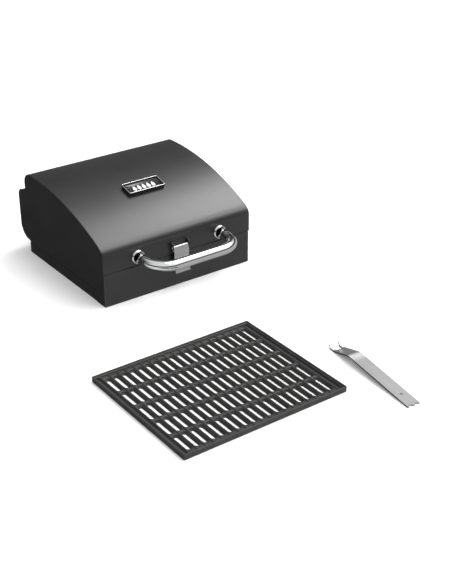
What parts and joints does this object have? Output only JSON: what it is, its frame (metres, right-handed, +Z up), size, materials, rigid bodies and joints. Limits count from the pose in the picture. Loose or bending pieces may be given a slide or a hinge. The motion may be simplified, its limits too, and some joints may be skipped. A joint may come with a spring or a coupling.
{
  "type": "camp grill",
  "caption": "Lidded sheet-steel camp grill box with a hinged arched lid, tube handle, front latch, lift-out heat deflector, cast-iron grate and a flat grate lifter.",
  "frame": {"origin": "centre of the underside of the base frame, on the surface that the grill stands on", "axes": "+Z up, +Y to the hinge at the rear, +X to the right of a person facing the front"},
  "size_m": [0.5975, 1.1214, 0.2165],
  "materials": {
    "powder_coat": "fine satin black powder coat",
    "chrome": "polished chrome plate",
    "stainless": "brushed stainless steel",
    "cast_iron": "seasoned black cast iron",
    "zinc_steel": "zinc-plated steel",
    "aluminised_steel": "aluminised sheet",
    "badge_black": "gloss black enamel"
  },
  "bodies": {
    "box": {"base_frame": "powder_coat", "front_panel": "powder_coat", "side_panel_left": "powder_coat", "side_panel_right": "powder_coat", "rear_panel": "powder_coat", "grate_ledge_left": "powder_coat", "grate_ledge_right": "powder_coat", "deflector_brackets": "powder_coat", "hinge_rod": "zinc_steel", "rod_saddle_left": "powder_coat", "rod_saddle_right": "powder_coat", "rod_clips": "zinc_steel", "latch_strike": "powder_coat", "strike_rivets": "zinc_steel"},
    "lid": {"lid_skin": "powder_coat", "lid_side_left": "powder_coat", "lid_side_right": "powder_coat", "hinge_arm_left": "powder_coat", "hinge_arm_right": "powder_coat", "hinge_arm_rivets": "zinc_steel", "handle_tube": "chrome", "handle_bezel_left": "chrome", "handle_bezel_right": "chrome", "handle_end_plugs": "zinc_steel", "handle_washers": "zinc_steel", "handle_bolts": "zinc_steel", "latch_bracket": "powder_coat", "latch_bracket_rivets": "zinc_steel", "latch_pin": "zinc_steel", "badge_plate": "badge_black", "badge_rim": "chrome", "badge_push_nuts": "zinc_steel"},
    "latch": {"latch_plate": "stainless", "latch_hook": "stainless", "latch_hook_rivets": "stainless"},
    "deflector": {"heat_deflector": "aluminised_steel"},
    "grate_body": {"grate": "cast_iron"},
    "lifter_body": {"grate_lifter": "stainless"}
  },
  "joints": [
    {"name": "lid_hinge", "type": "hinge", "parent": "box", "child": "lid", "pos_m": [0, 0.20815, 0.148], "axis": [-1, 0, 0], "range_deg": [0, 95]},
    {"name": "latch_swing", "type": "hinge", "parent": "lid", "child": "latch", "pos_m": [0, -0.18935, 0.1025], "axis": [-1, 0, 0], "range_deg": [0, 40]},
    {"name": "deflector_lift", "type": "slide", "parent": "box", "child": "deflector", "axis": [0, 0, 1], "range_m": [0, 0.03]},
    {"name": "grate_lift", "type": "slide", "parent": "box", "child": "grate_body", "axis": [0, 0, 1], "range_m": [0, 0.15]},
    {"name": "lifter_lift", "type": "slide", "parent": "box", "child": "lifter_body", "axis": [0, 0, 1], "range_m": [0, 0.15]}
  ]
}
